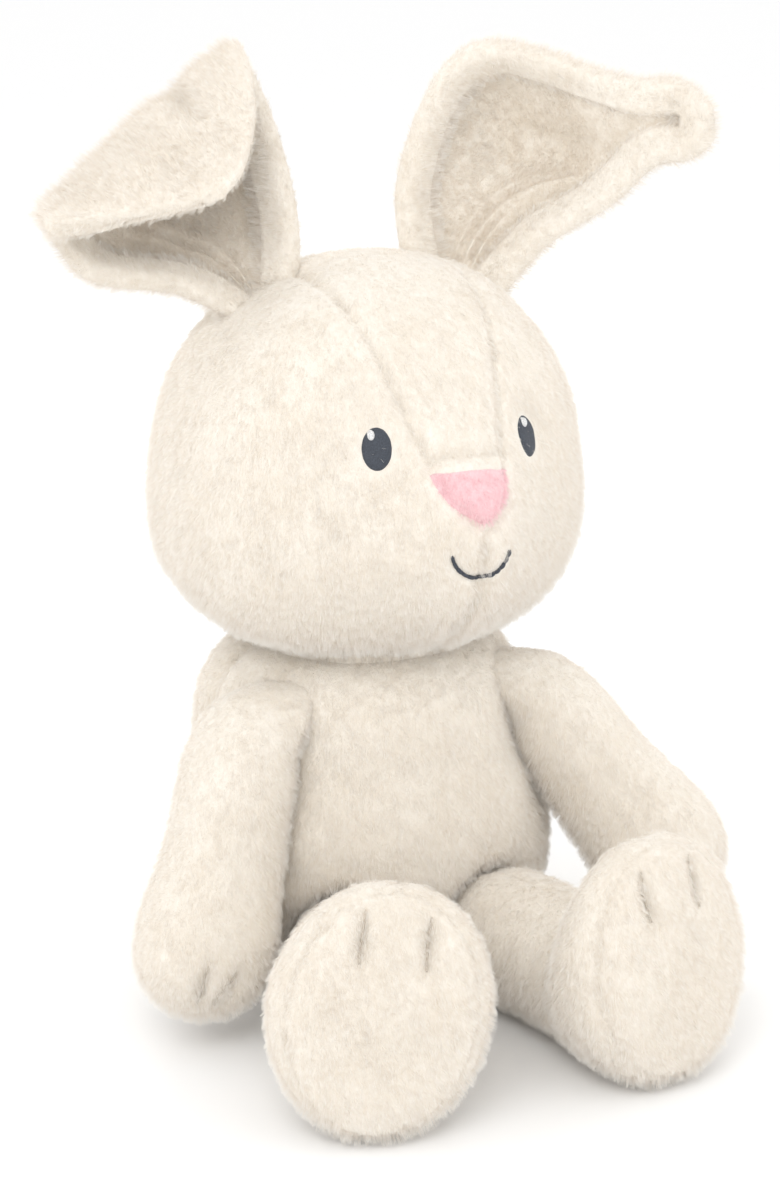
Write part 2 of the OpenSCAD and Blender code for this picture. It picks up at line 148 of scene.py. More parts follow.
def riding_piece(name, bm, material, body):
    """A smooth piece of one material made from a bmesh, which rides on a body."""
    bmesh.ops.recalc_face_normals(bm, faces=bm.faces)
    mesh = bpy.data.meshes.new(name)
    bm.to_mesh(mesh)
    bm.free()
    smooth_shaded(mesh)
    mesh.materials.append(material)
    made = new_object(name, mesh)
    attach(made, body)
    return made


def coords(mesh):
    flat = np.empty(len(mesh.vertices) * 3)
    mesh.vertices.foreach_get("co", flat)
    return flat.reshape(-1, 3)


def normals(mesh):
    flat = np.empty(len(mesh.vertices) * 3)
    mesh.vertices.foreach_get("normal", flat)
    return flat.reshape(-1, 3)


def move_to(mesh, points):
    mesh.vertices.foreach_set("co", np.asarray(points, float).ravel())
    mesh.update()


def applied(made):
    """Apply every modifier of an object to its mesh."""
    bpy.context.view_layer.update()
    graph = bpy.context.evaluated_depsgraph_get()
    mesh = bpy.data.meshes.new_from_object(made.evaluated_get(graph), depsgraph=graph)
    made.modifiers.clear()
    made.data = mesh
    return made


def bump(distance, width):
    """1 at distance 0, falling off smoothly over width."""
    return np.exp(-(np.asarray(distance) / width) ** 2)


def rise(x, low, high):
    t = np.clip((np.asarray(x, float) - low) / (high - low), 0, 1)
    return t * t * (3 - 2 * t)


def lumps(points, size, seed):
    """Smooth noise from -1 to 1 at each point; size is that of a lump, in metres."""
    shift = Vector((seed * 7.3, seed * 3.1, seed * 5.7))
    return np.array([noise.noise(Vector(p) / size + shift) for p in points])


def tree_of(mesh):
    return BVHTree.FromPolygons([v.co for v in mesh.vertices], [p.vertices for p in mesh.polygons])


def distances(tree, points):
    return np.array([tree.find_nearest(Vector(p))[3] for p in points])


# ---- covers ----
def outer_shell(mesh):
    """Keep only the largest connected part of a mesh."""
    bm = bmesh.new()
    bm.from_mesh(mesh)
    best = set(max(connected_parts(bm), key=len))
    bmesh.ops.delete(bm, geom=[v for v in bm.verts if v not in best], context="VERTS")
    bm.to_mesh(mesh)
    bm.free()


def wrap(name, nodes, voxel):
    """One closed skin round the CAD solids of these nodes."""
    joined = bmesh.new()
    for node in nodes:
        joined.from_mesh(bpy.data.objects[node].data)
    mesh = bpy.data.meshes.new(name)
    joined.to_mesh(mesh)
    joined.free()
    made = new_object(name, mesh)
    remesh = made.modifiers.new("remesh", "REMESH")
    remesh.mode = "VOXEL"
    remesh.voxel_size = voxel * MM
    applied(made)
    outer_shell(made.data)
    relax = made.modifiers.new("relax", "SMOOTH")
    relax.factor = 0.5
    relax.iterations = 12
    return applied(made)


def seam_distance(panels, points):
    """How far each point is from the nearest line where two of these CAD panels meet."""
    trees = [tree_of(bpy.data.objects[p].data) for p in panels]
    found = np.sort([distances(tree, points) for tree in trees], axis=0)
    return found[1] - found[0]


def puff(made, panels, pressure=4.0):
    """Inflate a skin as cloth, with the seams between its panels held in place."""
    start = coords(made.data)
    away = seam_distance(panels, start) / MM
    held = made.vertex_groups.new(name="held")
    for index, gap in enumerate(away):
        weight = 1.0 if gap < SKIN_VOXEL * 0.6 else 0.0
        held.add([index], weight, "REPLACE")
    cloth = made.modifiers.new("cloth", "CLOTH")
    cloth.settings.quality = 5
    cloth.settings.mass = 0.25
    cloth.settings.tension_stiffness = 12
    cloth.settings.compression_stiffness = 12
    cloth.settings.bending_stiffness = 0.4
    cloth.settings.use_pressure = True
    cloth.settings.uniform_pressure_force = pressure
    cloth.settings.vertex_group_mass = "held"
    cloth.settings.effector_weights.gravity = 0
    scene = bpy.context.scene
    for step in range(1, 21):
        scene.frame_set(step)
    applied(made)
    scene.frame_set(1)
    moved = coords(made.data) - start
    far = np.linalg.norm(moved, axis=1, keepdims=True)
    allowed = np.minimum(1, PUFF_CAP * MM / np.maximum(far, 1e-9))
    move_to(made.data, start + moved * allowed)
    made.vertex_groups.clear()


def subdivided(made, levels):
    fine = made.modifiers.new("fine", "SUBSURF")
    fine.levels = levels
    fine.render_levels = levels
    applied(made)
    smooth_shaded(made.data)


def sew(made, panels, seed, lumpiness=0.45, depth=SEAM_DEPTH):
    """Pull the seams of a cover in, with puckers across them, and lump the filling a little."""
    mesh = made.data
    points, out = coords(mesh), normals(mesh)
    gap = seam_distance(panels, points) / MM
    pucker = lumps(points, 3.2 * MM, seed)
    pulled = depth * bump(gap, SEAM_WIDTH) + 0.5 * bump(gap - 3, 3.5) * pucker
    swell = 0.3 * depth * bump(gap - 6, 5)
    uneven = lumpiness * lumps(points, 17 * MM, seed + 1) + 0.16 * lumps(points, 5 * MM, seed + 2)
    move_to(mesh, points + out * ((swell + uneven - pulled) * MM)[:, None])


def keep_above(made, height):
    """Flatten a cover softly against the floor."""
    points = coords(made.data)
    low = height * MM
    soft = 2 * MM
    z = points[:, 2]
    points[:, 2] = np.where(z < low + soft, low + soft * np.exp((z - low - soft) / soft), z)
    points[:, 2] = np.maximum(points[:, 2], low)
    move_to(made.data, points)


def cover(name, nodes, panels, seed, swell=0.6, floor=None, **sewing):
    """A finished cover: wrapped, inflated, subdivided and sewn."""
    made = wrap(name, nodes, SKIN_VOXEL)
    puff(made, panels)
    subdivided(made, 2)
    mesh = made.data
    move_to(mesh, coords(mesh) + normals(mesh) * swell * MM)
    sew(made, panels, seed, **sewing)
    if floor is not None:
        keep_above(made, floor)
    made.data.name = name
    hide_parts(*nodes)
    return made


# ---- materials ----
def node_material(name):
    made = bpy.data.materials.new(name)
    made.use_nodes = True
    tree = made.node_tree
    shader = tree.nodes["Principled BSDF"]
    return made, tree, shader


def link(tree, source, output, target, socket):
    tree.links.new(source.outputs[output], target.inputs[socket])


def noise_node(tree, size, detail, vector):
    """Noise whose lumps are about size millimetres across."""
    made = tree.nodes.new("ShaderNodeTexNoise")
    made.inputs["Scale"].default_value = 1 / (size * MM)
    made.inputs["Detail"].default_value = detail
    link(tree, vector, 0, made, "Vector")
    return made


def ramp_node(tree, source, output, stops):
    made = tree.nodes.new("ShaderNodeValToRGB")
    ramp = made.color_ramp
    while len(ramp.elements) < len(stops):
        ramp.elements.new(0.5)
    for element, (place, colour) in zip(ramp.elements, stops):
        element.position = place
        element.color = (*colour, 1)
    link(tree, source, output, made, "Fac")
    return made


def plush(name, light, shade, tuft=1.5, bumps=0.9):
    """Short pile: broad mottling, brushed tufts stretched along the body and a soft sheen."""
    made, tree, shader = node_material(name)
    place = tree.nodes.new("ShaderNodeTexCoord")
    brushed = tree.nodes.new("ShaderNodeMapping")
    brushed.inputs["Scale"].default_value = (1, 1, 0.45)
    tree.links.new(place.outputs["Object"], brushed.inputs["Vector"])
    broad = tree.nodes.new("ShaderNodeTexNoise")
    broad.inputs["Scale"].default_value = 1 / (16 * MM)
    tree.links.new(place.outputs["Object"], broad.inputs["Vector"])
    tufts = noise_node(tree, tuft, 5, brushed)
    fibres = noise_node(tree, tuft * 0.28, 3, brushed)
    mixed = tree.nodes.new("ShaderNodeMix")
    mixed.inputs["Factor"].default_value = 0.55
    link(tree, broad, 0, mixed, 2)
    link(tree, tufts, 0, mixed, 3)
    colour = ramp_node(tree, mixed, 0, [(0.34, shade), (0.62, light)])
    link(tree, colour, 0, shader, "Base Color")
    rough = tree.nodes.new("ShaderNodeMapRange")
    rough.inputs["To Min"].default_value = 0.78
    rough.inputs["To Max"].default_value = 0.95
    link(tree, fibres, 0, rough, "Value")
    link(tree, rough, 0, shader, "Roughness")
    height = tree.nodes.new("ShaderNodeMix")
    height.inputs["Factor"].default_value = 0.4
    link(tree, tufts, 0, height, 2)
    link(tree, fibres, 0, height, 3)
    relief = tree.nodes.new("ShaderNodeBump")
    relief.inputs["Strength"].default_value = bumps
    relief.inputs["Distance"].default_value = 0.9 * MM
    link(tree, height, 0, relief, "Height")
    link(tree, relief, 0, shader, "Normal")
    shader.inputs["Sheen Weight"].default_value = 0.35
    shader.inputs["Sheen Roughness"].default_value = 0.5
    shader.inputs["Specular IOR Level"].default_value = 0.15
    return made


def pile(name, root, tip):
    """The separate fibres of the pile, darker down at the cloth: painted shade among the fibres."""
    made, tree, shader = node_material(name)
    fibre = tree.nodes.new("ShaderNodeHairInfo")
    # painted shade: the root colour is darker than the tip, for the shade down among the fibres
    colour = ramp_node(tree, fibre, "Intercept", [(0.0, root), (0.85, tip)])
    link(tree, colour, 0, shader, "Base Color")
    shader.inputs["Roughness"].default_value = 0.75
    shader.inputs["Specular IOR Level"].default_value = 0.12
    return made


def thread_material(name, colour, gloss=0.45):
    """Embroidery thread: fine plies that catch the light."""
    made, tree, shader = node_material(name)
    place = tree.nodes.new("ShaderNodeTexCoord")
    plies = tree.nodes.new("ShaderNodeTexNoise")
    plies.inputs["Scale"].default_value = 1 / (0.35 * MM)
    plies.inputs["Detail"].default_value = 2
    tree.links.new(place.outputs["Object"], plies.inputs["Vector"])
    dark = tuple(c * 0.62 for c in colour)
    tint = ramp_node(tree, plies, 0, [(0.35, dark), (0.65, colour)])
    link(tree, tint, 0, shader, "Base Color")
    relief = tree.nodes.new("ShaderNodeBump")
    relief.inputs["Strength"].default_value = 0.5
    relief.inputs["Distance"].default_value = 0.15 * MM
    link(tree, plies, 0, relief, "Height")
    link(tree, relief, 0, shader, "Normal")
    shader.inputs["Roughness"].default_value = 1 - gloss
    return made


CREAM = plush("plush_cream", (0.93, 0.88, 0.80), (0.84, 0.77, 0.67))
# Each pile's first colour is its root, darkened as painted shade; the second is its tip.
CREAM_PILE = pile("pile_cream", (0.88, 0.81, 0.73), (0.97, 0.945, 0.90))
# painted shade: the ear lining is the same cream cloth; these darker copies of the cream cloth and pile
# stand for the shade inside the ear
SHADED_LINING = plush("plush_lining_painted_shade", (0.90, 0.84, 0.75), (0.80, 0.72, 0.61), tuft=1.2)
SHADED_LINING_PILE = pile("pile_lining_painted_shade", (0.82, 0.72, 0.61), (0.95, 0.90, 0.83))
PINK = plush("plush_pink", (0.95, 0.68, 0.70), (0.90, 0.58, 0.61), tuft=1.0)
PINK_PILE = pile("pile_pink", (0.93, 0.62, 0.65), (0.98, 0.76, 0.78))
SLATE = thread_material("thread_slate", (0.055, 0.065, 0.085))
WHITE = thread_material("thread_white", (0.9, 0.9, 0.9))
# The toe and paw stitch thread is real; its tone, darker than the cloth, is painted shade for the bottoms
# of the grooves.
SHADED_CREAM_THREAD = thread_material("thread_cream_shaded", (0.72, 0.64, 0.54), 0.3)


FIBRES_PER_PARENT = 14


def fur(made, fibres, comb, seed, length=PILE, density=4.2, keep_out=None):
    """Grow the pile on a cover: density strands per square millimetre, lying along comb."""
    mesh = made.data
    area = sum(p.area for p in mesh.polygons) / MM ** 2
    mesh.materials.append(fibres)
    grown = made.modifiers.new("pile", "PARTICLE_SYSTEM").particle_system
    grown.seed = seed
    hair = grown.settings
    hair.type = "HAIR"
    hair.count = int(area * density / FIBRES_PER_PARENT)
    hair.use_advanced_hair = True
    reach = length * MM / 4       # a fibre grows to four times these factors
    hair.hair_step = 3
    hair.render_step = 3
    hair.display_step = 2
    hair.emit_from = "FACE"
    hair.use_even_distribution = True
    hair.normal_factor = 0.75 * reach
    hair.object_align_factor = [c * reach for c in comb]
    hair.factor_random = 0.35 * reach
    hair.child_type = "INTERPOLATED"
    hair.child_percent = 1
    hair.rendered_child_count = FIBRES_PER_PARENT
    hair.child_length = 1.0
    hair.child_length_threshold = 0.6
    hair.clump_factor = 0.25
    hair.clump_shape = 0.1
    hair.root_radius = 1.0
    hair.tip_radius = 0.25
    hair.radius_scale = 0.065 * MM
    hair.material = len(mesh.materials)
    if keep_out is not None:
        group = made.vertex_groups.new(name="pile")
        for index, weight in enumerate(keep_out):
            group.add([index], float(weight), "REPLACE")
        grown.vertex_group_density = "pile"


# ---- padded bodies ----
HEAD_PANELS = ["head_right_panel", "head_left_panel", "head_gusset"]
head_cover = cover("head_cover", HEAD_PANELS + ["nose_panel", "head_stuffing"],
                   HEAD_PANELS + ["nose_panel"], seed=1, swell=0.3)
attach(head_cover, "head")


def raise_collar(made):
    """Fill the top of the torso out and up, so that the head sits down on it."""
    points = coords(made.data)
    z = points[:, 2] / MM
    wider = rise(z, 72, 104)[:, None]
    points[:, :2] *= 1 + COLLAR_SPREAD * wider
    points[:, 2] += COLLAR_RISE * MM * rise(z, 84, 105)
    move_to(made.data, points)


TORSO_PANELS = ["torso_front_panel", "torso_back_panel"]
torso_cover = cover("torso_cover", TORSO_PANELS + ["base_panel", "torso_stuffing"],
                    TORSO_PANELS, seed=2, swell=0.9, floor=0.2)
raise_collar(torso_cover)
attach(torso_cover, "torso")

tail_cover = cover("tail_pompom", ["tail_cover", "tail_stuffing"], ["tail_cover", "tail_stuffing"],
                   seed=3, depth=0.0, lumpiness=0.9)
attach(tail_cover, "torso")

neck_cover = cover("neck_cover", ["neck_stuffing"], TORSO_PANELS, seed=4, depth=0.0)
neck_at = np.array(joint("head_turn"))
move_to(neck_cover.data, neck_at + (coords(neck_cover.data) - neck_at) * NECK_SPREAD)
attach(neck_cover, "neck")


def slope_shoulder(arm, side, sign):
    """Draw the top of a sleeve in towards the neck, as where it is sewn to the body."""
    points = coords(arm.data)
    centre = np.array(joint(f"{side}_arm_raise"))
    up = (points[:, 2] - centre[2]) / MM
    inward = -sign * (points[:, 0] - centre[0]) / MM
    pull = rise(up, -6, 14) * rise(inward, -12, 14)
    points[:, 0] -= sign * 15 * pull * MM
    points[:, 2] += 3.5 * pull * MM
    move_to(arm.data, points)


limbs = {}
for side, sign in SIDES.items():
    panels = [f"{side}_arm_outer_panel", f"{side}_arm_inner_panel"]
    arm = cover(f"{side}_arm_cover", panels + [f"{side}_arm_stuffing", f"{side}_shoulder"],
                panels, seed=10 + sign, swell=0.7, depth=0.25)
    slope_shoulder(arm, side, sign)
    limbs[side, "arm"] = arm
    panels = [f"{side}_leg_outer_panel", f"{side}_leg_inner_panel", f"{side}_foot_sole"]
    leg = cover(f"{side}_leg_cover", panels + [f"{side}_leg_stuffing", f"{side}_hip"],
                panels, seed=20 + sign, swell=0.6, floor=0.2, depth=0.8)
    limbs[side, "leg"] = leg

for made in [head_cover, torso_cover, tail_cover, neck_cover, *limbs.values()]:
    made.data.materials.append(CREAM)


# ---- stitches and face ----
HEAD_MIDDLE = middle("head_stuffing")
FACE_TILT = math.radians(3)
PATCH_SINK = 1.4        # how far a patch reaches into the cover under it


def centre_lines(node, count):
    """The middle line of each separate thread in a CAD node, as count points."""
    bm = node_mesh(node)
    lines = []
    for part in connected_parts(bm):
        points = np.array([v.co[:] for v in part])
        centre = points.mean(axis=0)
        along = np.linalg.svd(points - centre)[2][0]
        place = (points - centre) @ along
        cuts = np.linspace(place.min(), place.max(), count)
        curve = [np.polyval(np.polyfit(place, points[:, k], 2), cuts) for k in range(3)]
        lines.append([Vector(p) for p in np.transpose(curve)])
    bm.free()
    return lines


def surface(tree, point):
    """Nearest place on a cover and the direction away from it."""
    place, out, _, _ = tree.find_nearest(point)
    return place, out


def share_along(index, count):
    """How much of its full depth a dent has at one of its points."""
    return math.sin(math.pi * (index + 0.6) / (count + 0.2)) ** 0.6


def dent(made, line, depth, width):
    """Pull a cover in along a line of points, deepest in the middle of the line."""
    mesh = made.data
    points, out = coords(mesh), normals(mesh)
    pull = np.zeros(len(points))
    for index, place in enumerate(line):
        gap = np.linalg.norm(points - np.array(place), axis=1) / MM
        pull = np.maximum(pull, depth * share_along(index, len(line)) * bump(gap, width))
    move_to(mesh, points - out * (pull * MM)[:, None])


def tube(bm, path, ups, radius, sides=8, taper=0.5):
    """Round thread of this radius along a path, its ends drawn in."""
    rings = []
    last = len(path) - 1
    for index, place in enumerate(path):
        along = (path[min(index + 1, last)] - path[max(index - 1, 0)]).normalized()
        across = along.cross(ups[index]).normalized()
        up = across.cross(along)
        r = radius * (taper if index in (0, last) else 1)
        rings.append([bm.verts.new(place + (math.cos(t) * across + math.sin(t) * up) * r)
                      for t in [2 * math.pi * k / sides for k in range(sides)]])
    for a, b in zip(rings, rings[1:]):
        for k in range(sides):
            bm.faces.new([a[k], a[(k + 1) % sides], b[(k + 1) % sides], b[k]])
    bm.faces.new(rings[0][::-1])
    bm.faces.new(rings[-1])


def stitched(name, lines, radius, step, material, body):
    """Short overlapping stitches along lines, each a list of places and the ways out of them."""
    bm = bmesh.new()
    for line in lines:
        length = sum((a[0] - b[0]).length for a, b in zip(line, line[1:]))
        count = max(2, round(length / (step * MM)))
        for n in range(count):
            path, ups = [], []
            for k in range(7):
                t = min(1, (n + 0.02 + k / 6 * 1.12) / count) * (len(line) - 1)
                i = min(int(t), len(line) - 2)
                place = line[i][0].lerp(line[i + 1][0], t - i)
                out = line[i][1].lerp(line[i + 1][1], t - i).normalized()
                path.append(place + out * math.sin(math.pi * k / 6) * radius * 0.9)
                ups.append(out)
            tube(bm, path, ups, radius * (0.92 + 0.16 * ((n * 7) % 5) / 4))
    return riding_piece(name, bm, material, body)


STITCH_DEPTH = 3.0
STITCH_WIDTH = 3.0
for (side, kind), made in limbs.items():
    node = f"{side}_paw_stitches" if kind == "arm" else f"{side}_toe_stitches"
    tree = tree_of(made.data)
    first = 5 if kind == "arm" else 0
    lines = [[surface(tree, p) for p in sorted(line, key=lambda p: -p.z)[first:]]
             for line in centre_lines(node, 13)]
    sunk = []
    for line in lines:
        dent(made, [place for place, _ in line], STITCH_DEPTH, STITCH_WIDTH)
        sunk.append([(place - out * (STITCH_DEPTH * share_along(k, len(line)) * 0.86 * MM), out)
                     for k, (place, out) in enumerate(line)])
    # thread sunk in the groove bottoms, in the darker cream that is painted shade
    joined = stitched(node + "_thread", sunk, 0.3 * MM, 3.4, SHADED_CREAM_THREAD, f"{side}_{kind}")
    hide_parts(node)


def on_head(across, height):
    """Place on the front of the head, across and up from the middle of the head, in metres."""
    turn = Matrix.Rotation(HEAD_TURN, 3, "Z")
    start = HEAD_MIDDLE + turn @ Vector((across, -0.2, height - across * math.tan(FACE_TILT)))
    place, out, _, _ = head_tree.ray_cast(start, turn @ Vector((0, 1, 0)))
    return place, out


def draped(name, outline_point, rings, columns, rise_mm, material, rough=0.0, seed=0):
    """A flat shape laid on the head: outline_point(share, t) gives each point of its rings."""
    bm = bmesh.new()
    levels = []
    for k in range(rings + 1):
        share = 1 - k / rings
        ring = []
        for n in range(columns if k < rings else 1):
            place, out = outline_point(share, 2 * math.pi * n / columns)
            dome = rise_mm * MM * (1 - share ** 3) ** 0.6
            dome += rough * MM * noise.noise(place / (1.2 * MM) + Vector((seed, 0, 0)))
            ring.append(bm.verts.new(place + out * (dome - 0.35 * MM * (share > 0.999))))
        levels.append(ring)
    for a, b in zip(levels, levels[1:]):
        for n in range(columns):
            m = (n + 1) % columns
            if len(b) == 1:
                bm.faces.new([a[n], a[m], b[0]])
            else:
                bm.faces.new([a[n], a[m], b[m], b[n]])
    bottom = []
    for n in range(columns):
        place, out = outline_point(1.0, 2 * math.pi * n / columns)
        bottom.append(bm.verts.new(place - out * PATCH_SINK * MM))
    centre, out = outline_point(0.0, 0.0)
    base = bm.verts.new(centre - out * PATCH_SINK * MM)
    for n in range(columns):
        m = (n + 1) % columns
        bm.faces.new([levels[0][m], levels[0][n], bottom[n], bottom[m]])
        bm.faces.new([bottom[m], bottom[n], base])
    return riding_piece(name, bm, material, "head")


head_tree = tree_of(head_cover.data)


def oval_on_head(middle_point, half_wide, half_high):
    """Outline function of an oval lying on the head round a point."""
    centre, out = surface(head_tree, middle_point)
    up = Vector((0, 0, 1)) - out * out.z
    up.normalize()
    side_way = up.cross(out)

    def place(share, t):
        flat = centre + side_way * (math.cos(t) * half_wide * share * MM)
        flat += up * (math.sin(t) * half_high * share * MM)
        return surface(head_tree, flat)
    return place


for side, sign in SIDES.items():
    centre = middle(f"{side}_eye")
    eye = draped(f"{side}_eye_patch", oval_on_head(centre, EYE_WIDTH / 2, EYE_HEIGHT / 2),
                 7, 48, 1.0, SLATE, 0.1, sign)
    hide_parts(f"{side}_eye")
    glint = middle(f"{side}_eye_highlight")
    spot = draped(f"{side}_eye_glint", oval_on_head(glint, 1.3, 1.8),
                  4, 24, 1.7, WHITE, 0.05, sign)
    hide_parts(f"{side}_eye_highlight")

nose_up = middle("nose_panel").z - HEAD_MIDDLE.z


def nose_place(share, t):
    """Rounded triangle standing on its point."""
    third = 2 * math.pi / 3
    reach = (math.cos(third / 2) / math.cos(t % third - third / 2)) ** 0.5
    across = math.sin(t) * reach * NOSE_WIDTH / 2 / math.sin(third)
    high = -math.cos(t) * reach * NOSE_HEIGHT / 1.7
    return on_head(across * share * MM, nose_up + high * share * MM)


nose = draped("nose_cover", nose_place, 16, 72, 1.3, PINK, 0.25, 5)
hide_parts("nose_panel")

mouth_low, mouth_high = (Vector(p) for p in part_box("mouth_stitching"))
MOUTH_DEPTH = 8.5


def smile_point(t):
    """Point of the smile at angle t from its middle."""
    across = math.sin(t) * (mouth_high.x - mouth_low.x) / 2
    drop = math.cos(t) * MOUTH_DEPTH * MM
    return on_head(across, mouth_high.z - drop - HEAD_MIDDLE.z)


smile = [smile_point(math.radians(-84 + 7 * n)) for n in range(25)]
dent(head_cover, [place for place, _ in smile], 0.5, 1.6)
head_tree = tree_of(head_cover.data)
smile = [surface(head_tree, place) for place, _ in smile]
mouth = stitched("mouth_thread", [smile], 0.6 * MM, 2.3, SLATE, "head")
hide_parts("mouth_stitching")


# ---- ears ----
# Rows of points from the head outward, over the fold and down the tip; each runs from the
# inner edge of the ear to the outer edge. Millimetres, as in the CAD source.
EAR_ROWS = {
    "right": [
        [(-26, -9, 212), (-31, -6, 213), (-37, -3, 213), (-43, 0, 213)],
        [(-22, -2, 241), (-32, 9, 238), (-46, 11, 229), (-60, 3, 222)],
        [(-25, 10, 272), (-41, 26, 260), (-63, 27, 243), (-87, 6, 228)],
        [(-33, 15, 293), (-54, 17, 279), (-75, 16, 262), (-98, 13, 244)],
        [(-35, 2, 288), (-52, 0, 274), (-77, 2, 259), (-100, 4, 245)],
        [(-37, -9, 274), (-52, -10, 264), (-76, -6, 254), (-101, -1, 243)],
        [(-41, -17, 259), (-54, -18, 252), (-75, -13, 248), (-95, -6, 244)],
    ],
    "left": [
        [(18, 6, 212), (27, 4, 213), (36, 1, 213), (44, -2, 210)],
        [(20, 17, 252), (38, 22, 246), (53, 14, 238), (60, -6, 229)],
        [(43, 15, 290), (58, 22, 272), (74, 13, 254), (78, -14, 242)],
        [(86, -13, 281), (88, -15, 272), (90, -17, 263), (92, -19, 254)],
        [(96, -20, 282), (98, -19, 273), (99, -20, 264), (98, -25, 255)],
        [(103, -25, 279), (104, -27, 272), (104, -28, 265), (101, -30, 257)],
        [(106, -27, 274), (106, -29, 270), (105, -30, 265), (103, -31, 261)],
    ],
}
OUTER_FACE = {"right": -1, "left": 1}
EAR_ROLL = 13           # width of the sleeve that shows in front, rolled over the edge
SLEEVE_EDGE = 4.2       # radius of the sleeve's rim
SLEEVE_FRONT = 3.0
SLEEVE_BACK = 4.4
LINING_EDGE = 3
LINING_START = 0.4      # depth at which the lining's cloth begins
LINING_THICK = 2.2
LINING_LEAST = 0.9      # the two faces of the lining stay this far apart
# Creases in the sleeve: place across, slant, from, to along the ear, and depth in mm.
EAR_CREASES = {"right": [(0.33, 0.1, 0.44, 0.86, 2.6)], "left": [(0.5, 0.0, 0.72, 0.95, 1.6)]}
# Folds of the lining: place across, slant, width and height.
LINING_FOLDS = {"right": [(0.55, 0.3, 0.05, 1.2), (0.75, 0.1, 0.04, 1.0)],
                "left": [(0.52, 0.75, 0.045, 1.9), (0.74, 0.3, 0.04, 1.6), (0.33, 0.9, 0.04, 1.2)]}
# Where the bend of each ear begins and ends.
EAR_FOLD = {"right": ((-65, 12, 268), (-68, 2.7, 270.8)), "left": ((84, -12, 268), (93, -12, 269.5))}
EAR_U = 110
EAR_V = 64


def spline(rows, places, t):
    """Point at t of a smooth curve that passes rows at the given places."""
    last = len(rows) - 1
    i = int(np.clip(np.searchsorted(places, t, side="right") - 1, 0, last - 1))
    span = places[i + 1] - places[i]
    f = (t - places[i]) / span

    def slope(k):
        a, b = max(k - 1, 0), min(k + 1, last)
        return (rows[b] - rows[a]) / (places[b] - places[a]) * span
    return (rows[i] * (2 * f ** 3 - 3 * f ** 2 + 1) + slope(i) * (f ** 3 - 2 * f ** 2 + f)
            + rows[i + 1] * (3 * f ** 2 - 2 * f ** 3) + slope(i + 1) * (f ** 3 - f ** 2))


def ear_grid(rows):
    """Middle surface of an ear and the directions away from it."""
    net = np.array(rows, float)
    climb = np.linalg.norm(np.diff(net.mean(axis=1), axis=0), axis=1)
    places = np.concatenate([[0], np.cumsum(climb)]) / climb.sum()
    points = np.empty((EAR_U, EAR_V, 3))
    thirds = np.array([0, 1, 2, 3]) / 3
    for i in range(EAR_U):
        along = i / (EAR_U - 1)
        row = spline(net, places, along)
        narrow = (1 - max(0, (along - 0.72) / 0.28) ** 4) ** 0.25
        for j in range(EAR_V):
            v = 0.5 + (j / (EAR_V - 1) - 0.5) * max(narrow, 0.06)
            points[i, j] = spline(row, thirds, v)
    out = np.cross(np.gradient(points, axis=0), np.gradient(points, axis=1))
    out /= np.linalg.norm(out, axis=2, keepdims=True) + 1e-12
    return points, out


def closed_sheet(name, top, bottom):
    """Closed skin over two matching grids of points that share their border."""
    rows, columns = top.shape[:2]
    mesh = bpy.data.meshes.new(name)
    verts = np.concatenate([top.reshape(-1, 3), bottom.reshape(-1, 3)]) * MM
    half = rows * columns
    faces = []
    for i in range(rows - 1):
        for j in range(columns - 1):
            a, b = i * columns + j, (i + 1) * columns + j
            faces.append((a, a + 1, b + 1, b))
            faces.append((half + a, half + b, half + b + 1, half + a + 1))
    mesh.from_pydata([tuple(v) for v in verts], [], faces)
    bm = bmesh.new()
    bm.from_mesh(mesh)
    bmesh.ops.remove_doubles(bm, verts=bm.verts, dist=0.05 * MM)
    bmesh.ops.recalc_face_normals(bm, faces=bm.faces)
    bm.to_mesh(mesh)
    bm.free()
    smooth_shaded(mesh)
    return new_object(name, mesh)


def inset(points, out, gap_wanted):
    """The same surface, pulled in from its two sides and its end by about gap_wanted mm."""
    step = np.linalg.norm(np.diff(points, axis=1), axis=2)
    across = np.concatenate([np.zeros((EAR_U, 1)), np.cumsum(step, axis=1)], axis=1)
    climb = np.linalg.norm(np.diff(points[:, EAR_V // 2], axis=0), axis=1)
    up = np.concatenate([[0], np.cumsum(climb)])
    rows = np.interp(np.linspace(0, up[-1] - gap_wanted, EAR_U), up, np.arange(EAR_U))
    made = [np.empty_like(points), np.empty_like(out)]
    for i, row in enumerate(rows):
        a, f = int(row), row - int(row)
        b = min(a + 1, EAR_U - 1)
        length = across[a] * (1 - f) + across[b] * f
        margin = min(gap_wanted, 0.42 * length[-1])
        places = np.linspace(margin, length[-1] - margin, EAR_V)
        for target, source in zip(made, (points, out)):
            mixed = source[a] * (1 - f) + source[b] * f
            target[i] = np.transpose([np.interp(places, length, mixed[:, k]) for k in range(3)])
    return made


def edge_gap(points):
    """Distance of each point of a grid from its two sides and its end."""
    step = np.linalg.norm(np.diff(points, axis=1), axis=2)
    across = np.concatenate([np.zeros((EAR_U, 1)), np.cumsum(step, axis=1)], axis=1)
    climb = np.linalg.norm(np.diff(points, axis=0), axis=2)
    up = np.concatenate([np.zeros((1, EAR_V)), np.cumsum(climb, axis=0)], axis=0)
    return np.minimum(np.minimum(across, across[:, -1:] - across), up[-1:, :] - up)


def round_edge(gap, radius):
    return np.sqrt(np.clip(1 - (1 - np.clip(gap / radius, 0, 1)) ** 2, 0, 1))


